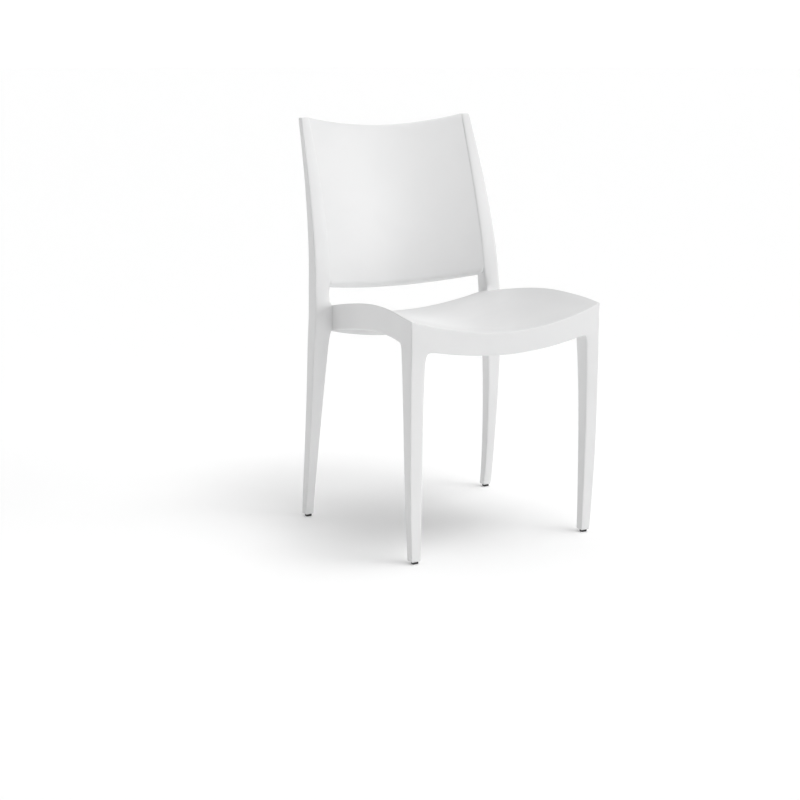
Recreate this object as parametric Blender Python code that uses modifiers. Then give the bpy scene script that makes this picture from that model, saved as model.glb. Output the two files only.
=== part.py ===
"""One-piece moulded stacking chair with a push-in glide in each foot.

Metres, +Z up, +X to the sitter's left, the front of the chair towards -Y.
The origin is on the floor under the middle of the chair's outline.
"""

import bpy
import bmesh
from mathutils import Matrix, Vector

# Driving dimensions -------------------------------------------------------
WALL = 0.0040
RIB = 0.0030
RIB_DROP = 0.012
RIB_X_SHARE = 0.36
RIB_Y = -0.035
GAP = 0.0003
ORIGIN_SHIFT_Y = -0.0117

SEAT_FRONT_Y = -0.2225
SEAT_FRONT_HALF = 0.2155
SEAT_REAR_Y = 0.135
SEAT_REAR_HALF = 0.1880
FRONT_BULGE = 0.0110
REAR_BULGE = 0.0100
REAR_SKIRT_INSET = 0.0060

# Height of the seat's top edge along the side, as (y, z).
SIDE_ARCH = (
    (-0.2225, 0.4695),
    (-0.165, 0.4765),
    (-0.105, 0.4800),
    (-0.045, 0.4785),
    (0.030, 0.4690),
    (0.090, 0.4590),
    (0.135, 0.4500),
    (0.175, 0.4430),
)
# Height of the seat's top surface along the middle, as (y, z).
SEAT_MIDDLE = (
    (-0.2335, 0.4325),
    (-0.165, 0.4300),
    (-0.045, 0.4240),
    (0.090, 0.4170),
    (0.175, 0.4195),
)
SADDLE_POWER = 1.9
SKIRT_DROP = 0.0510
FRONT_SKIRT_DROP = 0.0430
FRONT_DROP_REACH = (-0.10, 0.10)

# Front leg from the foot up, as (z, inner x, outer x, front y, depth).
FRONT_LEG = (
    (0.0050, 0.1897, 0.2100, -0.2122, 0.0185),
    (0.0500, 0.1899, 0.2125, -0.2138, 0.0195),
    (0.1500, 0.1897, 0.2162, -0.2178, 0.0245),
    (0.2700, 0.1893, 0.2170, -0.2205, 0.0285),
    (0.3870, 0.1862, 0.2168, -0.2220, 0.0355),
)
# Rear leg and back upright, the same way.
REAR_LEG = (
    (0.0050, 0.2132, 0.2326, 0.1800, 0.0170),
    (0.0500, 0.2135, 0.2326, 0.1730, 0.0190),
    (0.1500, 0.2095, 0.2317, 0.1590, 0.0225),
    (0.2700, 0.2020, 0.2303, 0.1460, 0.0255),
    (0.3700, 0.1940, 0.2283, 0.1385, 0.0295),
    (0.4350, 0.1887, 0.2246, 0.1350, 0.0328),
    (0.4830, 0.1868, 0.2223, 0.1402, 0.0308),
    (0.5500, 0.1848, 0.2185, 0.1468, 0.0276),
    (0.6350, 0.1828, 0.2138, 0.1667, 0.0214),
    (0.7300, 0.1820, 0.2078, 0.1960, 0.0162),
    (0.8200, 0.1832, 0.2016, 0.2290, 0.0140),
)
LEG_TOP_WIDTH = 0.0320
LEG_TOP_DEPTH = 0.0400
LEG_BLEND = 0.0200
LEG_CORE_SHARES = (0.35, 0.65)
FRONT_LEG_CORE_SHARE = 0.3

PANEL_RECESS = 0.0030
PANEL_THICKNESS = (0.0100, 0.0065)
PANEL_HOLLOW = (0.0350, 0.0185)
PANEL_DIP = (0.0150, 0.0200)
PANEL_LIP = 0.0090
STILE_ROLL = 0.0020

# Glides, their sockets and the gas channel above each socket.
GLIDE_HEIGHT = 0.0050
GLIDE_PAD = (0.0120, 0.0100)
GLIDE_CHAMFER = 0.0012
GLIDE_STEM = (0.0056, 0.0044)
GLIDE_STEM_HEIGHT = 0.0150
GLIDE_STEM_SUNK = 0.0020
GLIDE_FINS = 3
GLIDE_FIN_THICKNESS = 0.0010
SOCKET = (0.0086, 0.0066)
SOCKET_DEPTH = 0.0160
CORE_SHARE = 0.4
CHANNEL_RADIUS = 0.0032
CHANNEL_TOP = 0.360
CHANNEL_BENDS = 6
LEGS = {"front": FRONT_LEG, "rear": REAR_LEG}

# Lattice of the moulding's coarse cage: planes are named from the middle
# outwards in x, front to back in y and bottom to top in z.
X_PLANES = ("middle", "rib_in", "rib_out", "blend", "leg_in", "wall_in", "side", "outer")
Y_PLANES = (
    "front", "front_in", "leg_back", "arch_a", "arch_b", "rib_near", "rib_far", "arch_c",
    "arch_d", "leg_front", "rear_in", "rear_out", "leg_rear",
)
Z_PLANES = (
    "foot", "ankle", "shin", "knee", "haunch", "skirt", "ribs", "plate", "seat",
    "gap_low", "gap_high", "panel_low", "panel_a", "panel_b", "panel_c", "top",
)
X_INDEX = {name: number for number, name in enumerate(X_PLANES)}
Y_INDEX = {name: number for number, name in enumerate(Y_PLANES)}
Z_INDEX = {name: number for number, name in enumerate(Z_PLANES)}

# Filled blocks of the lattice: x from, to, y from, to, z from, to.
BLOCKS = (
    ("middle", "side", "front", "rear_out", "plate", "seat"),
    ("middle", "side", "front", "front_in", "skirt", "plate"),
    ("wall_in", "side", "front_in", "rear_out", "skirt", "plate"),
    ("middle", "wall_in", "rear_in", "rear_out", "skirt", "plate"),
    ("rib_in", "rib_out", "front_in", "rear_in", "ribs", "plate"),
    ("middle", "wall_in", "rib_near", "rib_far", "ribs", "plate"),
    ("leg_in", "side", "front", "leg_back", "foot", "plate"),
    ("side", "outer", "leg_front", "leg_rear", "foot", "top"),
    ("middle", "side", "rear_in", "rear_out", "panel_low", "top"),
)
SEAT_LEVELS = ("skirt", "ribs", "plate", "seat")
# The planes' places: rows along the seat, columns as shares of its half width,
# levels of the legs, and depths below the seat's top as shares of the skirt.
SEAT_ROWS = {
    "arch_a": -0.145,
    "arch_b": -0.105,
    "rib_near": -0.065,
    "rib_far": -0.020,
    "arch_c": 0.030,
    "arch_d": 0.085,
}
SEAT_COLUMNS = {"middle": 0.0, "rib_in": 0.24, "rib_out": 0.48}
PANEL_COLUMNS = {
    "middle": 0.0, "rib_in": 0.23, "rib_out": 0.46, "blend": 0.68, "leg_in": 0.86,
    "wall_in": 0.96, "side": 1.0,
}
SKIRT_SHARES = {"seat": 0.0, "plate": 0.32, "ribs": 0.66, "skirt": 1.0}
EDGE_STEP = 0.0120
FRONT_LEVELS = {"foot": 0.005, "ankle": 0.050, "shin": 0.150, "knee": 0.270, "haunch": 0.387}
INNER_LEVELS = {
    "foot": 0.005, "ankle": 0.050, "shin": 0.150, "knee": 0.270, "haunch": 0.370,
    "gap_low": 0.458, "gap_high": 0.474, "panel_low": 0.483, "panel_a": 0.550,
    "panel_b": 0.635, "panel_c": 0.730, "top": 0.820,
}
OUTER_LEVELS = INNER_LEVELS | {
    "skirt": 0.390, "ribs": 0.405, "plate": 0.417, "seat": 0.430, "gap_low": 0.464,
    "gap_high": 0.480, "panel_low": 0.500,
}


def clear_scene():
    for item in list(bpy.data.objects):
        bpy.data.objects.remove(item, do_unlink=True)


def new_collection(name):
    collection = bpy.data.collections.new(name)
    bpy.context.scene.collection.children.link(collection)
    return collection


def mix(low, high, share):
    return low + (high - low) * share


def slope_at(stations, index):
    """Slope of the smooth curve at one of its (position, value) stations."""
    before = stations[max(index - 1, 0)]
    after = stations[min(index + 1, len(stations) - 1)]
    return (after[1] - before[1]) / (after[0] - before[0])


def along(stations, where):
    """Value at `where` on the smooth cubic through (position, value) stations."""
    low = 0
    while low < len(stations) - 2 and where > stations[low + 1][0]:
        low += 1
    start, start_value = stations[low]
    end, end_value = stations[low + 1]
    run = end - start
    t = (where - start) / run
    ease = t * t * (3.0 - 2.0 * t)
    start_pull = t * (1.0 - t) ** 2 * run * slope_at(stations, low)
    end_pull = -t * t * (1.0 - t) * run * slope_at(stations, low + 1)
    return mix(start_value, end_value, ease) + start_pull + end_pull


# Shape of the seat --------------------------------------------------------
def side_x(y):
    """Outer face of the side rail."""
    share = (y - SEAT_FRONT_Y) / (SEAT_REAR_Y - SEAT_FRONT_Y)
    return mix(SEAT_FRONT_HALF, SEAT_REAR_HALF, share)


def crown(x, half):
    """1 on the centre line, 0 at the side."""
    return 1.0 - min(1.0, abs(x) / half) ** 2


def seat_top(x, y):
    share = min(1.0, abs(x) / side_x(y))
    return mix(along(SEAT_MIDDLE, y), along(SIDE_ARCH, y), share ** SADDLE_POWER)


def skirt_drop(x, y):
    """Depth of the skirt below the seat's top: a little less in the front's middle."""
    start, reach = FRONT_DROP_REACH
    nearness = max(0.0, min(1.0, (start - y) / reach))
    saving = (SKIRT_DROP - FRONT_SKIRT_DROP) * crown(x, SEAT_FRONT_HALF) * nearness
    return SKIRT_DROP - saving


def seat_column_x(x_plane, half, edge_step, at_rib):
    if at_rib and x_plane in ("rib_in", "rib_out"):
        side = -1 if x_plane == "rib_in" else 1
        return RIB_X_SHARE * half + side * RIB / 2
    columns = {
        "blend": half - LEG_TOP_WIDTH - LEG_BLEND,
        "leg_in": half - LEG_TOP_WIDTH,
        "wall_in": half - edge_step,
        "side": half,
    }
    return columns[x_plane] if x_plane in columns else SEAT_COLUMNS[x_plane] * half


def seat_row_y(y_plane, x, edge_step, at_rib):
    if at_rib and y_plane in ("rib_near", "rib_far"):
        side = -1 if y_plane == "rib_near" else 1
        return RIB_Y + side * RIB / 2
    front = SEAT_FRONT_Y - FRONT_BULGE * crown(x, SEAT_FRONT_HALF)
    _, _, leg_y, leg_depth = section(REAR_LEG, OUTER_LEVELS["seat"])
    rear = leg_y + leg_depth - REAR_SKIRT_INSET + REAR_BULGE * crown(x, SEAT_REAR_HALF)
    rows = {
        "front": front,
        "front_in": front + edge_step,
        "leg_back": SEAT_FRONT_Y + LEG_TOP_DEPTH,
        "leg_front": leg_y,
        "rear_in": rear - edge_step,
        "rear_out": rear,
    }
    return rows[y_plane] if y_plane in rows else SEAT_ROWS[y_plane]


def seat_corner(x_plane, y_plane, z_plane):
    at_front = Y_INDEX[y_plane] <= Y_INDEX["leg_back"]
    guess_y = SEAT_ROWS.get(y_plane, SEAT_FRONT_Y if at_front else SEAT_REAR_Y)
    on_side = x_plane == "side" and y_plane != "rear_in"
    on_skin = z_plane == "seat" or on_side or y_plane in ("front", "rear_out")
    edge_step = EDGE_STEP if on_skin else WALL
    at_rib = z_plane in ("ribs", "plate") and not on_skin
    x = seat_column_x(x_plane, side_x(guess_y), edge_step, at_rib)
    y = seat_row_y(y_plane, x, edge_step, at_rib)
    drop = SKIRT_SHARES[z_plane] * skirt_drop(x, y)
    if at_rib:
        drop = WALL if z_plane == "plate" else WALL + RIB_DROP
    return Vector((x, y, seat_top(x, y) - drop))


# Shape of the legs, uprights and back -------------------------------------
def section(leg, z):
    """Inner x, outer x, front y and depth of a leg at height z."""
    return [along([(row[0], row[column]) for row in leg], z) for column in range(1, 5)]


def front_leg_corner(x_plane, y_plane, z_plane):
    z = FRONT_LEVELS[z_plane]
    inner, outer, front, depth = section(FRONT_LEG, z)
    core = FRONT_LEG_CORE_SHARE
    columns = {"leg_in": inner, "wall_in": mix(outer, inner, core), "side": outer}
    rows = {"front": front, "front_in": front + core * depth, "leg_back": front + depth}
    return Vector((columns[x_plane], rows[y_plane], z))


def rear_leg_corner(x_plane, y_plane, z_plane):
    on_back = x_plane == "outer" or y_plane == "leg_rear"
    z = (OUTER_LEVELS if on_back else INNER_LEVELS)[z_plane]
    inner, outer, front, depth = section(REAR_LEG, z)
    x = inner if x_plane == "side" else outer
    at_stile = x_plane == "side" and y_plane == "leg_front"
    if at_stile and Z_INDEX[z_plane] >= Z_INDEX["gap_low"]:
        x += STILE_ROLL
    near, far = LEG_CORE_SHARES
    rows = {"leg_front": 0.0, "rear_in": near * depth, "rear_out": far * depth, "leg_rear": depth}
    return Vector((x, front + rows[y_plane], z))


def panel_corner(x_plane, y_plane, z_plane):
    z = INNER_LEVELS[z_plane]
    share = (z - INNER_LEVELS["panel_low"]) / (INNER_LEVELS["top"] - INNER_LEVELS["panel_low"])
    half, _, front, _ = section(REAR_LEG, z)
    x = PANEL_COLUMNS[x_plane] * half
    y = front + PANEL_RECESS + mix(*PANEL_HOLLOW, share) * crown(x, half)
    z -= mix(*PANEL_DIP, share) * crown(x, half)
    if y_plane == "rear_out":
        y += mix(*PANEL_THICKNESS, share)
    elif z_plane == "panel_low":
        z += PANEL_LIP
    return Vector((x, y, z))


def corner(x_plane, y_plane, z_plane):
    if x_plane == "outer":
        return rear_leg_corner(x_plane, y_plane, z_plane)
    if Y_INDEX[y_plane] <= Y_INDEX["leg_back"] and z_plane in FRONT_LEVELS:
        return front_leg_corner(x_plane, y_plane, z_plane)
    if z_plane in SEAT_LEVELS and y_plane != "leg_rear":
        return seat_corner(x_plane, y_plane, z_plane)
    if y_plane in ("rear_in", "rear_out") and Z_INDEX[z_plane] >= Z_INDEX["panel_low"]:
        return panel_corner(x_plane, y_plane, z_plane)
    return rear_leg_corner(x_plane, y_plane, z_plane)


# Cage ---------------------------------------------------------------------
def filled_cells():
    cells = set()
    for x0, x1, y0, y1, z0, z1 in BLOCKS:
        for i in range(X_INDEX[x0], X_INDEX[x1]):
            for j in range(Y_INDEX[y0], Y_INDEX[y1]):
                for k in range(Z_INDEX[z0], Z_INDEX[z1]):
                    cells.add((i, j, k))
    return cells


def cell_sides(i, j, k):
    """Each side of a cell: the neighbour's step and four corners, seen from outside."""
    a, b, c = i + 1, j + 1, k + 1
    return (
        ((-1, 0, 0), ((i, j, k), (i, j, c), (i, b, c), (i, b, k))),
        ((1, 0, 0), ((a, j, k), (a, b, k), (a, b, c), (a, j, c))),
        ((0, -1, 0), ((i, j, k), (a, j, k), (a, j, c), (i, j, c))),
        ((0, 1, 0), ((i, b, k), (i, b, c), (a, b, c), (a, b, k))),
        ((0, 0, -1), ((i, j, k), (i, b, k), (a, b, k), (a, j, k))),
        ((0, 0, 1), ((i, j, c), (a, j, c), (a, b, c), (i, b, c))),
    )


def is_soft(first, second):
    """True on the lattice edges that the moulding rounds off in one soft sweep."""
    i, j, k = (min(pair) for pair in zip(first, second))
    runs_back = first[1] != second[1]
    runs_up = first[2] != second[2]
    under_front = i == X_INDEX["leg_in"] and k == Z_INDEX["skirt"] and j == Y_INDEX["front"]
    in_gap = i == X_INDEX["side"] and k in (Z_INDEX["panel_low"], Z_INDEX["seat"])
    stile = i == X_INDEX["side"] and j == Y_INDEX["leg_front"] and k >= Z_INDEX["gap_low"]
    if runs_back:
        return under_front or (in_gap and j >= Y_INDEX["rear_in"])
    return runs_up and stile


def is_held(first, second):
    """True on edges held sharp: ribs' crossing, skirt's rear corner, bend of the upright."""
    columns = {X_PLANES[first[0]], X_PLANES[second[0]]}
    rows = {Y_PLANES[first[1]], Y_PLANES[second[1]]}
    levels = {Z_PLANES[first[2]], Z_PLANES[second[2]]}
    crossing = columns <= {"rib_in", "rib_out"} and rows <= {"rib_near", "rib_far"}
    rear_corner = columns <= {"wall_in", "side"} and rows <= {"rear_in", "rear_out"}
    bend = columns == {"side", "outer"} and rows == {"leg_front"} and levels == {"seat"}
    return bend or (crossing and levels == {"ribs"}) or (rear_corner and levels == {"skirt"})


def build_cage(bm):
    """Half of the moulding, open at x = 0, with sharp edges creased."""
    cells = filled_cells()
    points = {}
    side_of_edge = {}

    def point(index):
        if index not in points:
            x, y, z = (X_PLANES[index[0]], Y_PLANES[index[1]], Z_PLANES[index[2]])
            points[index] = bm.verts.new(corner(x, y, z))
        return points[index]

    for cell in sorted(cells):
        for step, corners in cell_sides(*cell):
            neighbour = tuple(a + b for a, b in zip(cell, step))
            if neighbour in cells or neighbour[0] < 0:
                continue
            bm.faces.new([point(index) for index in corners])
            for first, second in zip(corners, corners[1:] + corners[:1]):
                key = tuple(sorted((first, second)))
                side_of_edge.setdefault(key, set()).add(step)
    crease = bm.edges.layers.float.new("crease_edge")
    for (first, second), steps in side_of_edge.items():
        edge = bm.edges.get((points[first], points[second]))
        is_corner = len(steps) > 1 and not is_soft(first, second)
        if is_corner or is_held(first, second):
            edge[crease] = 1.0


# Objects ------------------------------------------------------------------
def new_material(name, colour, roughness):
    material = bpy.data.materials.new(name)
    material.use_nodes = True
    shader = material.node_tree.nodes["Principled BSDF"]
    shader.inputs["Base Color"].default_value = (*colour, 1.0)
    shader.inputs["Roughness"].default_value = roughness
    shader.inputs["Metallic"].default_value = 0.0
    return material


def mesh_object(name, bm, collection, material=None):
    bmesh.ops.recalc_face_normals(bm, faces=bm.faces)
    mesh = bpy.data.meshes.new(name)
    bm.to_mesh(mesh)
    bm.free()
    item = bpy.data.objects.new(name, mesh)
    collection.objects.link(item)
    if material is not None:
        mesh.materials.append(material)
    return item


def add_box(bm, size, centre):
    placed = Matrix.LocRotScale(Vector(centre), None, Vector(size))
    bmesh.ops.create_cube(bm, size=1.0, matrix=placed)


def core_place(leg, z):
    """Where the core of a leg runs at height z."""
    inner, outer, front, depth = section(leg, z)
    return Vector(((inner + outer) / 2, front + CORE_SHARE * depth + ORIGIN_SHIFT_Y, z))


def as_cutter(item):
    item.hide_render = True
    item.display_type = "WIRE"
    return item


def socket_cutter(name, leg, collection):
    bm = bmesh.new()
    add_box(bm, (*SOCKET, 2 * SOCKET_DEPTH), core_place(leg, INNER_LEVELS["foot"]))
    return as_cutter(mesh_object(name, bm, collection))


def channel_cutter(name, leg, collection):
    """Round gas channel that bends with the leg, from inside the socket up."""
    start = INNER_LEVELS["foot"] + SOCKET_DEPTH / 2
    curve = bpy.data.curves.new(name, "CURVE")
    curve.dimensions = "3D"
    curve.bevel_depth = CHANNEL_RADIUS
    curve.bevel_resolution = 2
    curve.use_fill_caps = True
    line = curve.splines.new("POLY")
    line.points.add(CHANNEL_BENDS)
    for number, point in enumerate(line.points):
        place = core_place(leg, mix(start, CHANNEL_TOP, number / CHANNEL_BENDS))
        point.co = (*place, 1.0)
    tube = bpy.data.objects.new(name, curve)
    collection.objects.link(tube)
    shape = tube.evaluated_get(bpy.context.evaluated_depsgraph_get())
    bm = bmesh.new()
    bm.from_mesh(bpy.data.meshes.new_from_object(shape))
    bmesh.ops.remove_doubles(bm, verts=bm.verts, dist=0.00001)
    bpy.data.objects.remove(tube, do_unlink=True)
    return as_cutter(mesh_object(name, bm, collection))


def mirrored(tool, collection):
    """The same tool on the other side of the chair."""
    bm = bmesh.new()
    bm.from_mesh(tool.data)
    bmesh.ops.scale(bm, vec=(-1.0, 1.0, 1.0), verts=bm.verts)
    return as_cutter(mesh_object(tool.name + "_right", bm, collection))


def chair_body(collection, cutters, material):
    bm = bmesh.new()
    build_cage(bm)
    bmesh.ops.translate(bm, vec=(0.0, ORIGIN_SHIFT_Y, 0.0), verts=bm.verts)
    mesh = bpy.data.meshes.new("chair_body")
    bm.to_mesh(mesh)
    bm.free()
    body = bpy.data.objects.new("chair_body", mesh)
    collection.objects.link(body)
    mesh.materials.append(material)
    mirror = body.modifiers.new("other_half", "MIRROR")
    mirror.merge_threshold = 0.00001
    smooth = body.modifiers.new("soft_form", "SUBSURF")
    smooth.levels = 1
    smooth.render_levels = 1
    for label, leg in LEGS.items():
        socket = socket_cutter(f"socket_{label}", leg, cutters)
        channel = channel_cutter(f"channel_{label}", leg, cutters)
        for tool in (socket, channel):
            for cutter in (tool, mirrored(tool, cutters)):
                cut = body.modifiers.new(cutter.name, "BOOLEAN")
                cut.operation = "DIFFERENCE"
                cut.object = cutter
    return body


def glide_pad(name, collection, material):
    """Pad of a glide, its sole at z = 0."""
    top = GLIDE_HEIGHT - GAP
    bm = bmesh.new()
    add_box(bm, (*GLIDE_PAD, top), (0.0, 0.0, top / 2))
    sole = [edge for edge in bm.edges if all(vert.co.z < top / 2 for vert in edge.verts)]
    bmesh.ops.bevel(bm, geom=sole, offset=GLIDE_CHAMFER, segments=1, affect="EDGES")
    return mesh_object(name, bm, collection, material)


def glide_stem(name, cutters):
    """Stem and gripping fins of a glide, as the boxes that its pad is joined to."""
    bm = bmesh.new()
    middle = GLIDE_HEIGHT - GLIDE_STEM_SUNK + GLIDE_STEM_HEIGHT / 2
    add_box(bm, (*GLIDE_STEM, GLIDE_STEM_HEIGHT), (0.0, 0.0, middle))
    pieces = [mesh_object(name + "_stem", bm, cutters)]
    fin_size = [side - 2 * GAP for side in SOCKET]
    for number in range(1, GLIDE_FINS + 1):
        height = GLIDE_HEIGHT + GLIDE_STEM_HEIGHT * number / (GLIDE_FINS + 1)
        bm = bmesh.new()
        add_box(bm, (*fin_size, GLIDE_FIN_THICKNESS), (0.0, 0.0, height))
        pieces.append(mesh_object(f"{name}_fin_{number}", bm, cutters))
    return pieces


def glide(name, place, collection, cutters, material):
    pad = glide_pad(name, collection, material)
    pad.location = place
    for piece in glide_stem(name, cutters):
        piece.location = place
        join = pad.modifiers.new(piece.name, "BOOLEAN")
        join.operation = "UNION"
        join.object = as_cutter(piece)
    return pad


def main():
    clear_scene()
    parts = new_collection("stacking_chair")
    cutters = new_collection("cutters")
    shell = new_material("white_polypropylene", (0.78, 0.78, 0.77), 0.40)
    rubber = new_material("glide_rubber", (0.02, 0.02, 0.022), 0.7)
    chair_body(parts, cutters, shell)
    for label, leg in LEGS.items():
        foot = core_place(leg, INNER_LEVELS["foot"])
        for side, sign in (("left", 1.0), ("right", -1.0)):
            place = (sign * foot.x, foot.y, 0.0)
            glide(f"foot_glide_{label}_{side}", place, parts, cutters, rubber)


main()
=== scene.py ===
import math

import bpy
import bmesh
from mathutils import Matrix, Vector


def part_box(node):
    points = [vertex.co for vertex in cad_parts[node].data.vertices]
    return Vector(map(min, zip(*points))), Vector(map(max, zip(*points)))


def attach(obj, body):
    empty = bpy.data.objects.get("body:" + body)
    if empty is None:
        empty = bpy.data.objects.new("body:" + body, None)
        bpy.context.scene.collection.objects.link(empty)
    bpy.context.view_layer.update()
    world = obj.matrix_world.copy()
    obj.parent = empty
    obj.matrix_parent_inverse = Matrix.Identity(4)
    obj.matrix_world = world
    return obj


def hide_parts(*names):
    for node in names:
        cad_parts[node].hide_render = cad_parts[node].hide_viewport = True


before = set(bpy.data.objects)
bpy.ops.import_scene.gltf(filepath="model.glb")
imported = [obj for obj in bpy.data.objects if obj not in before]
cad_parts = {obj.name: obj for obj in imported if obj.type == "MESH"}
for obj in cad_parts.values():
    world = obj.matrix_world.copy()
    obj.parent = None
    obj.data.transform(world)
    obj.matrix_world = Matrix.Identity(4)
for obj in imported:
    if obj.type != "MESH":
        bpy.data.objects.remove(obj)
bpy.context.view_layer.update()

# Moulding: driving dimensions, in metres -----------------------------------
WALL = 0.0040
RIB = 0.0030
RIB_DROP = 0.012
RIB_X_SHARE = 0.36
RIB_Y = -0.035
ORIGIN_SHIFT_Y = -0.0117

SEAT_FRONT_Y = -0.2225
SEAT_FRONT_HALF = 0.2155
SEAT_REAR_Y = 0.135
SEAT_REAR_HALF = 0.1880
FRONT_BULGE = 0.0110
REAR_BULGE = 0.0100
REAR_SKIRT_INSET = 0.0060

# Height of the seat's top edge along the side, as (y, z).
SIDE_ARCH = (
    (-0.2225, 0.4695),
    (-0.165, 0.4765),
    (-0.105, 0.4800),
    (-0.045, 0.4785),
    (0.030, 0.4690),
    (0.090, 0.4590),
    (0.135, 0.4500),
    (0.175, 0.4430),
)
# Height of the seat's top surface along the middle, as (y, z).
SEAT_MIDDLE = (
    (-0.2335, 0.4325),
    (-0.165, 0.4300),
    (-0.045, 0.4240),
    (0.090, 0.4170),
    (0.175, 0.4195),
)
SADDLE_POWER = 1.9
SKIRT_DROP = 0.0510
# The front skirt is less deep in its middle: from this y, easing in over this reach.
FRONT_SKIRT_DROP = 0.0430
FRONT_DROP_REACH = (-0.10, 0.10)

# Front leg from the foot up, as (z, inner x, outer x, front y, depth).
FRONT_LEG = (
    (0.0050, 0.1897, 0.2100, -0.2122, 0.0185),
    (0.0500, 0.1899, 0.2125, -0.2138, 0.0195),
    (0.1500, 0.1897, 0.2162, -0.2178, 0.0245),
    (0.2700, 0.1893, 0.2170, -0.2205, 0.0285),
    (0.3870, 0.1862, 0.2168, -0.2220, 0.0355),
)
# Rear leg and back upright, the same way.
REAR_LEG = (
    (0.0050, 0.2132, 0.2326, 0.1800, 0.0170),
    (0.0500, 0.2135, 0.2326, 0.1730, 0.0190),
    (0.1500, 0.2095, 0.2317, 0.1590, 0.0225),
    (0.2700, 0.2020, 0.2303, 0.1460, 0.0255),
    (0.3700, 0.1940, 0.2283, 0.1385, 0.0295),
    (0.4350, 0.1887, 0.2246, 0.1350, 0.0328),
    (0.4830, 0.1868, 0.2223, 0.1402, 0.0308),
    (0.5500, 0.1848, 0.2185, 0.1468, 0.0276),
    (0.6350, 0.1828, 0.2138, 0.1667, 0.0214),
    (0.7300, 0.1820, 0.2078, 0.1960, 0.0162),
    (0.8200, 0.1832, 0.2016, 0.2290, 0.0140),
)
LEG_TOP_WIDTH = 0.0320
LEG_TOP_DEPTH = 0.0400
LEG_BLEND = 0.0200
# Where the lattice cuts through a leg, as shares of its depth.
LEG_CORE_SHARES = (0.35, 0.65)
FRONT_LEG_CORE_SHARE = 0.3

PANEL_RECESS = 0.0030
# Each pair: at the panel's lower edge and at its top.
PANEL_THICKNESS = (0.0100, 0.0065)
PANEL_HOLLOW = (0.0350, 0.0185)
PANEL_DIP = (0.0150, 0.0200)
PANEL_LIP = 0.0090
STILE_ROLL = 0.0020

# Lattice of the moulding's coarse cage: planes are named from the middle
# outwards in x, front to back in y and bottom to top in z.
X_PLANES = ("middle", "rib_in", "rib_out", "blend", "leg_in", "wall_in", "side", "outer")
Y_PLANES = (
    "front", "front_in", "leg_back", "arch_a", "arch_b", "rib_near", "rib_far", "arch_c",
    "arch_d", "leg_front", "rear_in", "rear_out", "leg_rear",
)
Z_PLANES = (
    "foot", "ankle", "shin", "knee", "haunch", "skirt", "ribs", "plate", "seat",
    "gap_low", "gap_high", "panel_low", "panel_a", "panel_b", "panel_c", "top",
)
X_INDEX = {name: number for number, name in enumerate(X_PLANES)}
Y_INDEX = {name: number for number, name in enumerate(Y_PLANES)}
Z_INDEX = {name: number for number, name in enumerate(Z_PLANES)}

# Filled blocks of the lattice: x from, to, y from, to, z from, to.
BLOCKS = (
    ("middle", "side", "front", "rear_out", "plate", "seat"),
    ("middle", "side", "front", "front_in", "skirt", "plate"),
    ("wall_in", "side", "front_in", "rear_out", "skirt", "plate"),
    ("middle", "wall_in", "rear_in", "rear_out", "skirt", "plate"),
    ("rib_in", "rib_out", "front_in", "rear_in", "ribs", "plate"),
    ("middle", "wall_in", "rib_near", "rib_far", "ribs", "plate"),
    ("leg_in", "side", "front", "leg_back", "foot", "plate"),
    ("side", "outer", "leg_front", "leg_rear", "foot", "top"),
    ("middle", "side", "rear_in", "rear_out", "panel_low", "top"),
)
SEAT_LEVELS = ("skirt", "ribs", "plate", "seat")
# The planes' places: rows along the seat, columns as shares of its half width,
# levels of the legs, and depths below the seat's top as shares of the skirt.
SEAT_ROWS = {
    "arch_a": -0.145,
    "arch_b": -0.105,
    "rib_near": -0.065,
    "rib_far": -0.020,
    "arch_c": 0.030,
    "arch_d": 0.085,
}
SEAT_COLUMNS = {"middle": 0.0, "rib_in": 0.24, "rib_out": 0.48}
PANEL_COLUMNS = {
    "middle": 0.0, "rib_in": 0.23, "rib_out": 0.46, "blend": 0.68, "leg_in": 0.86,
    "wall_in": 0.96, "side": 1.0,
}
SKIRT_SHARES = {"seat": 0.0, "plate": 0.32, "ribs": 0.66, "skirt": 1.0}
EDGE_STEP = 0.0120
FRONT_LEVELS = {"foot": 0.005, "ankle": 0.050, "shin": 0.150, "knee": 0.270, "haunch": 0.387}
INNER_LEVELS = {
    "foot": 0.005, "ankle": 0.050, "shin": 0.150, "knee": 0.270, "haunch": 0.370,
    "gap_low": 0.458, "gap_high": 0.474, "panel_low": 0.483, "panel_a": 0.550,
    "panel_b": 0.635, "panel_c": 0.730, "top": 0.820,
}
OUTER_LEVELS = INNER_LEVELS | {
    "skirt": 0.390, "ribs": 0.405, "plate": 0.417, "seat": 0.430, "gap_low": 0.464,
    "gap_high": 0.480, "panel_low": 0.500,
}

# Moulding: how its cage is finished -----------------------------------------
SUBDIVISIONS = 3
MERGE_DISTANCE = 0.00001
# How many halvings of the cage an outer edge stays sharp for before it rounds.
SHARPNESS = {"front_leg": 1.3, "upright": 2.4, "panel": 4.2, "seat": 3.0, "thin": 3.4}
# Sharpness that a full crease stands for.
FULL_SHARPNESS = 10.0

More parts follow.
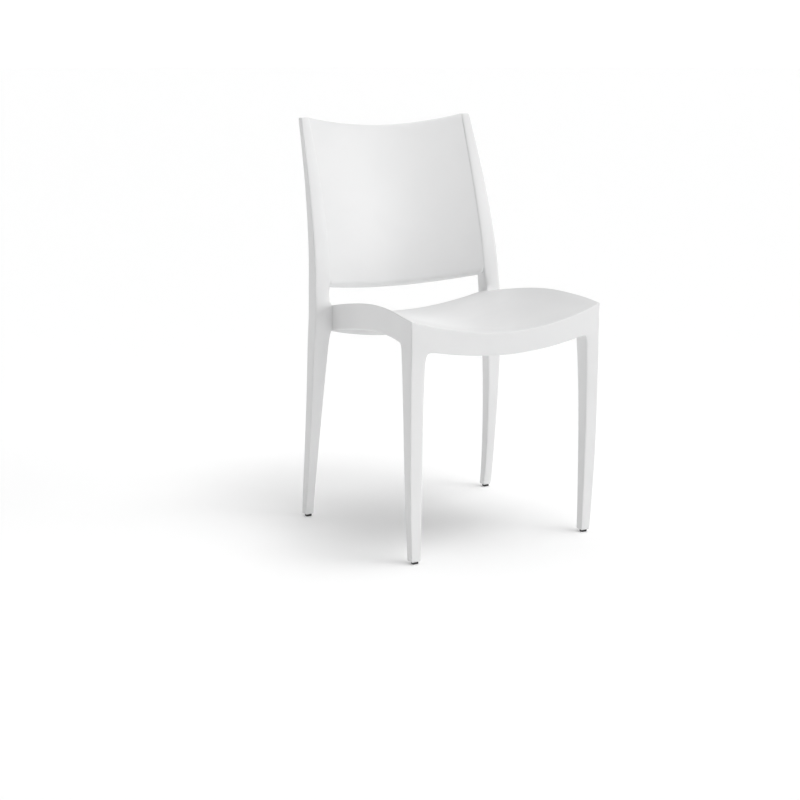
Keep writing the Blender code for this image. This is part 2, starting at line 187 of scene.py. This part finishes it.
# Glides and their sockets: heights are above the sole -----------------------
GLIDE_NODES = (
    "foot_glide_front_left", "foot_glide_front_right",
    "foot_glide_rear_left", "foot_glide_rear_right",
)
PAD_HALF = (0.0060, 0.0050)
PAD_CORNER = 0.0016
PAD_SOLE_ROUND = 0.0012
PAD_TOP_ROUND = 0.0005
PAD_TOP = 0.0047
STEM_HALF = (0.0028, 0.0022)
STEM_CORNER = 0.0008
STEM_TOP = 0.0180
FIN_HALF = (0.0040, 0.0030)
FIN_THICKNESS = 0.0010
FIN_HEIGHTS = (0.00875, 0.01250, 0.01625)
SMALLEST_CORNER = 0.0004
SOCKET_HALF = (0.0043, 0.0033)
SOCKET_TOP = 0.0210
FOOT_HEIGHT = 0.0050
ARC_STEPS = 4
QUARTER_TURN = 90.0
SHARP_ANGLE = 40.0

# Looks: a noise is given as (scale, detail) or (scale, detail, distortion) ----
BODY_TONES = ((0.772, 0.774, 0.776), (0.792, 0.793, 0.794))
BODY_ROUGHNESS = (0.37, 0.43)
BODY_IOR = 1.49
FLOW_MARKS = (7.0, 4.0, 0.6)
FLOW_MARK_RANGE = (0.35, 0.65)
SHEEN_PATCHES = (34.0, 3.0)
SHEEN_RANGE = (0.3, 0.7)
MOULDED_GRAIN = (1500.0, 2.0)
ORANGE_PEEL = (210.0, 1.0)
ORANGE_PEEL_WEIGHT = 1.6
BODY_RELIEF_DEPTH = 0.00003
BODY_RELIEF_STRENGTH = 0.5

SCUFF_HAIRS = (1.0, 1.0)
SCUFF_TURN = 24.0
SCUFF_STRETCH = (14.0, 420.0, 60.0)
SCUFF_RANGE = (0.69, 0.74)
SCUFF_PATCHES = (9.0, 2.0)
SCUFF_PATCH_RANGE = (0.48, 0.62)
SCUFF_ROUGHNESS = 0.07

RUBBER_TONE = (0.017, 0.017, 0.018)
DUST_TONE = (0.075, 0.073, 0.070)
DUST = (420.0, 4.0, 0.5)
DUST_RANGE = (0.5, 0.75)
RUBBER_ROUGHNESS = (0.58, 0.82)
RUBBER_GRAIN = (2600.0, 3.0)
RUBBER_RELIEF_DEPTH = 0.00005
RUBBER_RELIEF_STRENGTH = 0.6

FLOOR_TONES = ((0.897, 0.897, 0.897), (0.903, 0.903, 0.903))
FLOOR_MOTTLE = (2.0, 2.0)
FLOOR_ROUGHNESS = 0.6

# Studio ---------------------------------------------------------------------
# Each soft light: heading seen from the chair (x, y), elevation and apparent
# width in degrees, strength.
SOFT_LIGHTS = {
    "key_front": (0.25, -0.97, 65.0, 25.0, 0.683),
    "key_middle": (0.68, -0.73, 65.0, 25.0, 0.260),
    "key_side": (0.95, -0.30, 65.0, 25.0, 0.498),
    "overhead": (0.0, -1.0, 90.0, 60.0, 0.878),
    "low_key": (0.66, -0.70, 16.8, 25.0, 0.800),
    "rim_left": (-0.80, 0.60, 19.3, 60.0, 0.050),
}
WHITE = (1.0, 1.0, 1.0, 1.0)
UP = (0.0, 0.0, 1.0)
# Glow of the studio's white walls, as (start, full, strength). The back wall's range
# is the cosine of the angle from its heading, the horizon's the sine of the elevation.
BACK_WALL_HEADING = (0.254, 0.967, 0.0)
BACK_WALL = (-0.35, 0.45, 0.418)
HORIZON = (0.30, 0.08, 1.04)
FLOOR_RADIUS = 80.0
FLOOR_SEGMENTS = 64
FLOOR_GLOW = 0.120

# Camera: place in metres, heading and tilt in degrees, lens and sensor in mm ----
CAMERA_PLACE = (-1.7135, -2.7187, 0.9604)
CAMERA_HEADING = 31.80
CAMERA_TILT = 12.38
CAMERA_LENS = 72.48
CAMERA_SHIFT_X = -0.0393
SENSOR_WIDTH = 36.0
LEVEL_LOOK = 90.0


# Curves through stations ----------------------------------------------------
def mix(low, high, share):
    """Value between two others, by the share of the way."""
    return low + (high - low) * share


def slope_at(stations, index):
    """Slope of the smooth curve at one of its (position, value) stations."""
    before = stations[max(index - 1, 0)]
    after = stations[min(index + 1, len(stations) - 1)]
    return (after[1] - before[1]) / (after[0] - before[0])


def along(stations, where):
    """Value at `where` on the smooth cubic through (position, value) stations."""
    low = 0
    while low < len(stations) - 2 and where > stations[low + 1][0]:
        low += 1
    start, start_value = stations[low]
    end, end_value = stations[low + 1]
    run = end - start
    t = (where - start) / run
    ease = t * t * (3.0 - 2.0 * t)
    start_pull = t * (1.0 - t) ** 2 * run * slope_at(stations, low)
    end_pull = -t * t * (1.0 - t) * run * slope_at(stations, low + 1)
    return mix(start_value, end_value, ease) + start_pull + end_pull


# Shape of the seat --------------------------------------------------------
def side_x(y):
    """Outer face of the side rail."""
    share = (y - SEAT_FRONT_Y) / (SEAT_REAR_Y - SEAT_FRONT_Y)
    return mix(SEAT_FRONT_HALF, SEAT_REAR_HALF, share)


def crown(x, half):
    """1 on the centre line, 0 at the side."""
    return 1.0 - min(1.0, abs(x) / half) ** 2


def seat_top(x, y):
    """Height of the seat's top surface, from the low middle up to the side's arch."""
    share = min(1.0, abs(x) / side_x(y))
    return mix(along(SEAT_MIDDLE, y), along(SIDE_ARCH, y), share ** SADDLE_POWER)


def skirt_drop(x, y):
    """Depth of the skirt below the seat's top: a little less in the front's middle."""
    start, reach = FRONT_DROP_REACH
    nearness = max(0.0, min(1.0, (start - y) / reach))
    saving = (SKIRT_DROP - FRONT_SKIRT_DROP) * crown(x, SEAT_FRONT_HALF) * nearness
    return SKIRT_DROP - saving


def seat_column_x(x_plane, half, edge_step, at_rib):
    """Where a lattice column crosses the seat."""
    if at_rib and x_plane in ("rib_in", "rib_out"):
        side = -1 if x_plane == "rib_in" else 1
        return RIB_X_SHARE * half + side * RIB / 2
    columns = {
        "blend": half - LEG_TOP_WIDTH - LEG_BLEND,
        "leg_in": half - LEG_TOP_WIDTH,
        "wall_in": half - edge_step,
        "side": half,
    }
    return columns[x_plane] if x_plane in columns else SEAT_COLUMNS[x_plane] * half


def seat_row_y(y_plane, x, edge_step, at_rib):
    """Where a lattice row crosses the seat at x."""
    if at_rib and y_plane in ("rib_near", "rib_far"):
        side = -1 if y_plane == "rib_near" else 1
        return RIB_Y + side * RIB / 2
    front = SEAT_FRONT_Y - FRONT_BULGE * crown(x, SEAT_FRONT_HALF)
    _, _, leg_y, leg_depth = section(REAR_LEG, OUTER_LEVELS["seat"])
    rear = leg_y + leg_depth - REAR_SKIRT_INSET + REAR_BULGE * crown(x, SEAT_REAR_HALF)
    rows = {
        "front": front,
        "front_in": front + edge_step,
        "leg_back": SEAT_FRONT_Y + LEG_TOP_DEPTH,
        "leg_front": leg_y,
        "rear_in": rear - edge_step,
        "rear_out": rear,
    }
    return rows[y_plane] if y_plane in rows else SEAT_ROWS[y_plane]


def seat_corner(x_plane, y_plane, z_plane):
    """Corner of the seat, its skirts or its ribs."""
    at_front = Y_INDEX[y_plane] <= Y_INDEX["leg_back"]
    guess_y = SEAT_ROWS.get(y_plane, SEAT_FRONT_Y if at_front else SEAT_REAR_Y)
    on_side = x_plane == "side" and y_plane != "rear_in"
    on_skin = z_plane == "seat" or on_side or y_plane in ("front", "rear_out")
    edge_step = EDGE_STEP if on_skin else WALL
    at_rib = z_plane in ("ribs", "plate") and not on_skin
    x = seat_column_x(x_plane, side_x(guess_y), edge_step, at_rib)
    y = seat_row_y(y_plane, x, edge_step, at_rib)
    drop = SKIRT_SHARES[z_plane] * skirt_drop(x, y)
    if at_rib:
        drop = WALL if z_plane == "plate" else WALL + RIB_DROP
    return Vector((x, y, seat_top(x, y) - drop))


# Shape of the legs, uprights and back -------------------------------------
def section(leg, z):
    """Inner x, outer x, front y and depth of a leg at height z."""
    return [along([(row[0], row[column]) for row in leg], z) for column in range(1, 5)]


def front_leg_corner(x_plane, y_plane, z_plane):
    """Corner of the front leg below the skirt."""
    z = FRONT_LEVELS[z_plane]
    inner, outer, front, depth = section(FRONT_LEG, z)
    core = FRONT_LEG_CORE_SHARE
    columns = {"leg_in": inner, "wall_in": mix(outer, inner, core), "side": outer}
    rows = {"front": front, "front_in": front + core * depth, "leg_back": front + depth}
    return Vector((columns[x_plane], rows[y_plane], z))


def rear_leg_corner(x_plane, y_plane, z_plane):
    """Corner of the rear leg or of the upright above it."""
    on_back = x_plane == "outer" or y_plane == "leg_rear"
    z = (OUTER_LEVELS if on_back else INNER_LEVELS)[z_plane]
    inner, outer, front, depth = section(REAR_LEG, z)
    x = inner if x_plane == "side" else outer
    at_stile = x_plane == "side" and y_plane == "leg_front"
    if at_stile and Z_INDEX[z_plane] >= Z_INDEX["gap_low"]:
        x += STILE_ROLL
    near, far = LEG_CORE_SHARES
    rows = {"leg_front": 0.0, "rear_in": near * depth, "rear_out": far * depth, "leg_rear": depth}
    return Vector((x, front + rows[y_plane], z))


def panel_corner(x_plane, y_plane, z_plane):
    """Corner of the hollowed back panel; its lower edge has a rounded lip."""
    z = INNER_LEVELS[z_plane]
    share = (z - INNER_LEVELS["panel_low"]) / (INNER_LEVELS["top"] - INNER_LEVELS["panel_low"])
    half, _, front, _ = section(REAR_LEG, z)
    x = PANEL_COLUMNS[x_plane] * half
    y = front + PANEL_RECESS + mix(*PANEL_HOLLOW, share) * crown(x, half)
    z -= mix(*PANEL_DIP, share) * crown(x, half)
    if y_plane == "rear_out":
        y += mix(*PANEL_THICKNESS, share)
    elif z_plane == "panel_low":
        z += PANEL_LIP
    return Vector((x, y, z))


def corner(x_plane, y_plane, z_plane):
    """Place of any lattice corner that the moulding uses."""
    if x_plane == "outer":
        return rear_leg_corner(x_plane, y_plane, z_plane)
    if Y_INDEX[y_plane] <= Y_INDEX["leg_back"] and z_plane in FRONT_LEVELS:
        return front_leg_corner(x_plane, y_plane, z_plane)
    if z_plane in SEAT_LEVELS and y_plane != "leg_rear":
        return seat_corner(x_plane, y_plane, z_plane)
    if y_plane in ("rear_in", "rear_out") and Z_INDEX[z_plane] >= Z_INDEX["panel_low"]:
        return panel_corner(x_plane, y_plane, z_plane)
    return rear_leg_corner(x_plane, y_plane, z_plane)


# Cage ---------------------------------------------------------------------
def filled_cells():
    """Lattice cells that the moulding fills."""
    cells = set()
    for x0, x1, y0, y1, z0, z1 in BLOCKS:
        for i in range(X_INDEX[x0], X_INDEX[x1]):
            for j in range(Y_INDEX[y0], Y_INDEX[y1]):
                for k in range(Z_INDEX[z0], Z_INDEX[z1]):
                    cells.add((i, j, k))
    return cells


def cell_sides(i, j, k):
    """Each side of a cell: the neighbour's step and four corners, seen from outside."""
    a, b, c = i + 1, j + 1, k + 1
    return (
        ((-1, 0, 0), ((i, j, k), (i, j, c), (i, b, c), (i, b, k))),
        ((1, 0, 0), ((a, j, k), (a, b, k), (a, b, c), (a, j, c))),
        ((0, -1, 0), ((i, j, k), (a, j, k), (a, j, c), (i, j, c))),
        ((0, 1, 0), ((i, b, k), (i, b, c), (a, b, c), (a, b, k))),
        ((0, 0, -1), ((i, j, k), (i, b, k), (a, b, k), (a, j, k))),
        ((0, 0, 1), ((i, j, c), (a, j, c), (a, b, c), (i, b, c))),
    )


def is_soft(first, second):
    """True on the lattice edges that the moulding rounds off in one soft sweep."""
    i, j, k = (min(pair) for pair in zip(first, second))
    runs_back = first[1] != second[1]
    runs_up = first[2] != second[2]
    under_front = i == X_INDEX["leg_in"] and k == Z_INDEX["skirt"] and j == Y_INDEX["front"]
    in_gap = i == X_INDEX["side"] and k in (Z_INDEX["panel_low"], Z_INDEX["seat"])
    stile = i == X_INDEX["side"] and j == Y_INDEX["leg_front"] and k >= Z_INDEX["gap_low"]
    if runs_back:
        return under_front or (in_gap and j >= Y_INDEX["rear_in"])
    return runs_up and stile


def is_held(first, second):
    """True on edges held sharp: ribs' crossing, skirt's rear corner, bend of the upright."""
    columns = {X_PLANES[first[0]], X_PLANES[second[0]]}
    rows = {Y_PLANES[first[1]], Y_PLANES[second[1]]}
    levels = {Z_PLANES[first[2]], Z_PLANES[second[2]]}
    crossing = columns <= {"rib_in", "rib_out"} and rows <= {"rib_near", "rib_far"}
    rear_corner = columns <= {"wall_in", "side"} and rows <= {"rear_in", "rear_out"}
    bend = columns == {"side", "outer"} and rows == {"leg_front"} and levels == {"seat"}
    return bend or (crossing and levels == {"ribs"}) or (rear_corner and levels == {"skirt"})


def edge_sharpness(first, second):
    """Sharpness of an outer edge: rounder on legs and uprights than on thin walls."""
    i, j, k = (min(pair) for pair in zip(first, second))
    runs_up = first[2] != second[2]
    if runs_up and i == X_INDEX["outer"]:
        return SHARPNESS["upright"]
    if runs_up and k < Z_INDEX["skirt"]:
        return SHARPNESS["front_leg"]
    if runs_up and i == X_INDEX["side"] and j == Y_INDEX["front"]:
        return SHARPNESS["seat"]
    if k >= Z_INDEX["gap_low"]:
        return SHARPNESS["panel"]
    return SHARPNESS["seat"] if k == Z_INDEX["seat"] else SHARPNESS["thin"]


def crease_for(sharpness):
    """Edge crease that keeps an edge sharp for that many halvings."""
    return math.sqrt(sharpness / FULL_SHARPNESS)


def build_cage(bm):
    """Half of the moulding, open at x = 0, each edge creased by how sharp it is."""
    cells = filled_cells()
    points = {}
    faces_at_edge = {}

    def point(index):
        if index not in points:
            x, y, z = (X_PLANES[index[0]], Y_PLANES[index[1]], Z_PLANES[index[2]])
            points[index] = bm.verts.new(corner(x, y, z))
        return points[index]

    for cell in sorted(cells):
        for step, corners in cell_sides(*cell):
            neighbour = tuple(a + b for a, b in zip(cell, step))
            if neighbour in cells or neighbour[0] < 0:
                continue
            bm.faces.new([point(index) for index in corners])
            for first, second in zip(corners, corners[1:] + corners[:1]):
                key = tuple(sorted((first, second)))
                faces_at_edge.setdefault(key, []).append((cell, step))
    crease = bm.edges.layers.float.new("crease_edge")
    for (first, second), sides in faces_at_edge.items():
        edge = bm.edges.get((points[first], points[second]))
        turns = len({step for _, step in sides}) > 1
        juts_out = len({cell for cell, _ in sides}) == 1
        if is_held(first, second):
            edge[crease] = 1.0
        elif turns and not is_soft(first, second):
            edge[crease] = crease_for(edge_sharpness(first, second)) if juts_out else 1.0


# Pieces ---------------------------------------------------------------------
def mesh_from(bm, name):
    """The finished mesh of a bmesh, which is freed."""
    mesh = bpy.data.meshes.new(name)
    bm.to_mesh(mesh)
    bm.free()
    return mesh


def linked_object(name, data):
    item = bpy.data.objects.new(name, data)
    bpy.context.scene.collection.objects.link(item)
    return item


def body_piece(material):
    """The moulding: half a cage, mirrored and smoothed."""
    bm = bmesh.new()
    build_cage(bm)
    bmesh.ops.translate(bm, vec=(0.0, ORIGIN_SHIFT_Y, 0.0), verts=bm.verts)
    mesh = mesh_from(bm, "chair_moulding")
    mesh.materials.append(material)
    body = linked_object("chair_moulding", mesh)
    mirror = body.modifiers.new("other_half", "MIRROR")
    mirror.merge_threshold = MERGE_DISTANCE
    smooth = body.modifiers.new("soft_form", "SUBSURF")
    smooth.levels = SUBDIVISIONS
    smooth.render_levels = SUBDIVISIONS
    mesh.shade_smooth()
    return body


def middle_of(node):
    """Middle of a CAD node seen from above, as (x, y)."""
    (low_x, low_y, _), (high_x, high_y, _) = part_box(node)
    return (low_x + high_x) / 2, (low_y + high_y) / 2


def cut_sockets(body):
    """Sockets for the glides' stems, cut up into the feet."""
    bm = bmesh.new()
    size = Vector((2 * SOCKET_HALF[0], 2 * SOCKET_HALF[1], 2 * (SOCKET_TOP - FOOT_HEIGHT)))
    for node in GLIDE_NODES:
        centre = Vector((*middle_of(node), FOOT_HEIGHT))
        place = Matrix.LocRotScale(centre, None, size)
        bmesh.ops.create_cube(bm, size=1.0, matrix=place)
    tool = linked_object("socket_tool", mesh_from(bm, "sockets"))
    cut = body.modifiers.new("sockets", "BOOLEAN")
    cut.operation = "DIFFERENCE"
    cut.object = tool
    depsgraph = bpy.context.evaluated_depsgraph_get()
    shaped = bpy.data.meshes.new_from_object(body.evaluated_get(depsgraph))
    body.modifiers.clear()
    body.data = shaped
    bpy.data.objects.remove(tool, do_unlink=True)


def rounded_rectangle(half, radius):
    """Points round a rectangle with rounded corners, as (x, y)."""
    points = []
    for quarter, (sign_x, sign_y) in enumerate(((1, 1), (-1, 1), (-1, -1), (1, -1))):
        centre_x = sign_x * (half[0] - radius)
        centre_y = sign_y * (half[1] - radius)
        for step in range(ARC_STEPS + 1):
            angle = math.radians(QUARTER_TURN * (quarter + step / ARC_STEPS))
            x = centre_x + radius * math.cos(angle)
            y = centre_y + radius * math.sin(angle)
            points.append((x, y))
    return points


def quarter_arc():
    """Sine and cosine at even steps through a quarter turn."""
    for step in range(ARC_STEPS + 1):
        angle = math.radians(QUARTER_TURN * step / ARC_STEPS)
        yield math.sin(angle), math.cos(angle)


def glide_rings():
    """Half sizes, inset, corner radius and height of each ring, from the sole up."""
    rings = []
    for sine, cosine in quarter_arc():
        inset = PAD_SOLE_ROUND * (1.0 - sine)
        rings.append((PAD_HALF, inset, PAD_CORNER, PAD_SOLE_ROUND * (1.0 - cosine)))
    for sine, cosine in quarter_arc():
        inset = PAD_TOP_ROUND * (1.0 - cosine)
        rings.append((PAD_HALF, inset, PAD_CORNER, PAD_TOP - PAD_TOP_ROUND * (1.0 - sine)))
    rings.append((STEM_HALF, 0.0, STEM_CORNER, PAD_TOP))
    for middle in FIN_HEIGHTS:
        low = middle - FIN_THICKNESS / 2
        high = middle + FIN_THICKNESS / 2
        rings.append((STEM_HALF, 0.0, STEM_CORNER, low))
        rings.append((FIN_HALF, 0.0, STEM_CORNER, low))
        rings.append((FIN_HALF, 0.0, STEM_CORNER, high))
        rings.append((STEM_HALF, 0.0, STEM_CORNER, high))
    rings.append((STEM_HALF, 0.0, STEM_CORNER, STEM_TOP))
    return rings


def add_glide_skin(bm):
    """Closed skin through the glide's rings."""
    loops = []
    for half, inset, radius, height in glide_rings():
        inner = (half[0] - inset, half[1] - inset)
        outline = rounded_rectangle(inner, max(radius - inset, SMALLEST_CORNER))
        loops.append([bm.verts.new((x, y, height)) for x, y in outline])
    for below, above in zip(loops, loops[1:]):
        for number, vert in enumerate(below):
            after = (number + 1) % len(below)
            bm.faces.new((vert, below[after], above[after], above[number]))
    bm.faces.new(loops[0][::-1])
    bm.faces.new(loops[-1])
    bmesh.ops.recalc_face_normals(bm, faces=bm.faces)


def glide_piece(node, material):
    """Rounded pad with its stem and gripping fins, standing where the CAD node stands."""
    bm = bmesh.new()
    add_glide_skin(bm)
    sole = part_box(node)[0][2]
    bmesh.ops.translate(bm, vec=(*middle_of(node), sole), verts=bm.verts)
    mesh = mesh_from(bm, "glide_" + node)
    mesh.materials.append(material)
    piece = linked_object("visual_" + node, mesh)
    mesh.shade_smooth()
    mesh.set_sharp_from_angle(angle=math.radians(SHARP_ANGLE))
    return piece


# Materials ------------------------------------------------------------------
def new_look(name):
    material = bpy.data.materials.new(name)
    material.use_nodes = True
    tree = material.node_tree
    return material, tree, tree.nodes["Principled BSDF"]


def add_noise(tree, scale, detail, distortion=0.0, where=None):
    """Noise in object space, or at the given places."""
    noise = tree.nodes.new("ShaderNodeTexNoise")
    noise.inputs["Scale"].default_value = scale
    noise.inputs["Detail"].default_value = detail
    noise.inputs["Distortion"].default_value = distortion
    if where is None:
        where = tree.nodes.new("ShaderNodeTexCoord").outputs["Object"]
    tree.links.new(where, noise.inputs["Vector"])
    return noise.outputs["Fac"]


def add_range(tree, value, source, target=(0.0, 1.0)):
    """The value carried from one range into another."""
    node = tree.nodes.new("ShaderNodeMapRange")
    node.inputs["From Min"].default_value, node.inputs["From Max"].default_value = source
    node.inputs["To Min"].default_value, node.inputs["To Max"].default_value = target
    tree.links.new(value, node.inputs["Value"])
    return node.outputs["Result"]


def add_math(tree, operation, first, second):
    node = tree.nodes.new("ShaderNodeMath")
    node.operation = operation
    tree.links.new(first, node.inputs[0])
    tree.links.new(second, node.inputs[1])
    return node.outputs["Value"]


def add_colour_mix(tree, share, first, second):
    node = tree.nodes.new("ShaderNodeMix")
    node.data_type = "RGBA"
    node.inputs["A"].default_value = (*first, 1.0)
    node.inputs["B"].default_value = (*second, 1.0)
    tree.links.new(share, node.inputs["Factor"])
    return node.outputs["Result"]


def add_bump(tree, height, depth, strength):
    node = tree.nodes.new("ShaderNodeBump")
    node.inputs["Strength"].default_value = strength
    node.inputs["Distance"].default_value = depth
    tree.links.new(height, node.inputs["Height"])
    return node.outputs["Normal"]


def add_scuffs(tree):
    """Faint hairline scuffs in patches: 1 on a scuff, 0 beside it."""
    where = tree.nodes.new("ShaderNodeTexCoord")
    stretch = tree.nodes.new("ShaderNodeMapping")
    stretch.inputs["Rotation"].default_value = (0.0, 0.0, math.radians(SCUFF_TURN))
    stretch.inputs["Scale"].default_value = SCUFF_STRETCH
    tree.links.new(where.outputs["Object"], stretch.inputs["Vector"])
    hairs = add_noise(tree, *SCUFF_HAIRS, where=stretch.outputs["Vector"])
    lines = add_range(tree, hairs, SCUFF_RANGE)
    patches = add_range(tree, add_noise(tree, *SCUFF_PATCHES), SCUFF_PATCH_RANGE)
    return add_math(tree, "MULTIPLY", lines, patches)


def plastic():
    """Satin white polypropylene: fine moulded grain, faint flow marks and scuffs."""
    material, tree, shader = new_look("white_polypropylene")
    flow_marks = add_range(tree, add_noise(tree, *FLOW_MARKS), FLOW_MARK_RANGE)
    tree.links.new(add_colour_mix(tree, flow_marks, *BODY_TONES), shader.inputs["Base Color"])
    scuffs = add_scuffs(tree)
    sheen = add_range(tree, add_noise(tree, *SHEEN_PATCHES), SHEEN_RANGE, BODY_ROUGHNESS)
    scuffed = add_range(tree, scuffs, (0.0, 1.0), (0.0, SCUFF_ROUGHNESS))
    tree.links.new(add_math(tree, "ADD", sheen, scuffed), shader.inputs["Roughness"])
    grain = add_noise(tree, *MOULDED_GRAIN)
    peel = add_range(tree, add_noise(tree, *ORANGE_PEEL), (0.0, 1.0), (0.0, ORANGE_PEEL_WEIGHT))
    height = add_math(tree, "SUBTRACT", add_math(tree, "ADD", grain, peel), scuffs)
    relief = add_bump(tree, height, BODY_RELIEF_DEPTH, BODY_RELIEF_STRENGTH)
    tree.links.new(relief, shader.inputs["Normal"])
    shader.inputs["IOR"].default_value = BODY_IOR
    return material


def rubber():
    """Dark moulded rubber, dusty in patches."""
    material, tree, shader = new_look("dark_glide_rubber")
    dust = add_range(tree, add_noise(tree, *DUST), DUST_RANGE)
    tone = add_colour_mix(tree, dust, RUBBER_TONE, DUST_TONE)
    tree.links.new(tone, shader.inputs["Base Color"])
    roughness = add_range(tree, dust, (0.0, 1.0), RUBBER_ROUGHNESS)
    tree.links.new(roughness, shader.inputs["Roughness"])
    grain = add_noise(tree, *RUBBER_GRAIN)
    relief = add_bump(tree, grain, RUBBER_RELIEF_DEPTH, RUBBER_RELIEF_STRENGTH)
    tree.links.new(relief, shader.inputs["Normal"])
    return material


def pale_floor():
    """Pale matt floor with a faint glow, so that it runs into the white walls."""
    material, tree, shader = new_look("studio_floor")
    tone = add_colour_mix(tree, add_noise(tree, *FLOOR_MOTTLE), *FLOOR_TONES)
    tree.links.new(tone, shader.inputs["Base Color"])
    shader.inputs["Roughness"].default_value = FLOOR_ROUGHNESS
    shader.inputs["Emission Color"].default_value = WHITE
    shader.inputs["Emission Strength"].default_value = FLOOR_GLOW
    return material


# Lights, walls, floor and camera ---------------------------------------------
def studio_light(name, heading_x, heading_y, elevation, width, strength):
    """Sun lamp that shines from a heading and an elevation, as wide as a soft box."""
    data = bpy.data.lights.new(name, "SUN")
    data.energy = strength
    data.angle = math.radians(width)
    lamp = linked_object(name, data)
    flat = Vector((heading_x, heading_y)).normalized() * math.cos(math.radians(elevation))
    towards = Vector((flat.x, flat.y, math.sin(math.radians(elevation))))
    lamp.rotation_euler = (-towards).to_track_quat("-Z", "Y").to_euler()


def add_along(tree, direction):
    """How far a ray of the world points along a direction, from -1 to 1."""
    where = tree.nodes.new("ShaderNodeTexCoord")
    facing = tree.nodes.new("ShaderNodeVectorMath")
    facing.operation = "DOT_PRODUCT"
    facing.inputs[1].default_value = direction
    tree.links.new(where.outputs["Generated"], facing.inputs[0])
    return facing.outputs["Value"]


def add_glow(tree, value, start, full, strength):
    """Soft step from nothing at `start` to the whole strength at `full`."""
    glow = tree.nodes.new("ShaderNodeMapRange")
    glow.interpolation_type = "SMOOTHSTEP"
    glow.inputs["From Min"].default_value = min(start, full)
    glow.inputs["From Max"].default_value = max(start, full)
    glow.inputs["To Min"].default_value = strength if full < start else 0.0
    glow.inputs["To Max"].default_value = strength if full > start else 0.0
    tree.links.new(value, glow.inputs["Value"])
    return glow.outputs["Result"]


def studio_walls():
    """White all round at the horizon, and a soft white wall behind the chair."""
    world = bpy.data.worlds.new("studio")
    world.use_nodes = True
    tree = world.node_tree
    height = tree.nodes.new("ShaderNodeMath")
    height.operation = "ABSOLUTE"
    tree.links.new(add_along(tree, UP), height.inputs[0])
    horizon = add_glow(tree, height.outputs["Value"], *HORIZON)
    back_wall = add_glow(tree, add_along(tree, BACK_WALL_HEADING), *BACK_WALL)
    background = tree.nodes["Background"]
    background.inputs["Color"].default_value = WHITE
    total = add_math(tree, "ADD", horizon, back_wall)
    tree.links.new(total, background.inputs["Strength"])
    bpy.context.scene.world = world


def studio_floor():
    bm = bmesh.new()
    bmesh.ops.create_circle(bm, cap_ends=True, segments=FLOOR_SEGMENTS, radius=FLOOR_RADIUS)
    mesh = mesh_from(bm, "studio_floor")
    mesh.materials.append(pale_floor())
    linked_object("studio_floor", mesh)


def studio_camera():
    data = bpy.data.cameras.new("camera")
    data.sensor_width = SENSOR_WIDTH
    data.lens = CAMERA_LENS
    data.shift_x = CAMERA_SHIFT_X
    camera = linked_object("camera", data)
    camera.location = CAMERA_PLACE
    turn = (math.radians(LEVEL_LOOK - CAMERA_TILT), 0.0, -math.radians(CAMERA_HEADING))
    camera.rotation_euler = turn
    bpy.context.scene.camera = camera


# The scene --------------------------------------------------------------------
def dress_piece(piece, node):
    """The piece stands for a CAD node and moves with its body."""
    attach(piece, "root")
    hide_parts(node)


def corners(box):
    return [[float(value) for value in point] for point in box]


body = body_piece(plastic())
cut_sockets(body)
dress_piece(body, "chair_body")
glide_rubber = rubber()
for glide_node in GLIDE_NODES:
    dress_piece(glide_piece(glide_node, glide_rubber), glide_node)

bpy.context.scene.view_settings.view_transform = "Standard"
for light_name, light_values in SOFT_LIGHTS.items():
    studio_light(light_name, *light_values)
studio_walls()
studio_floor()
studio_camera()
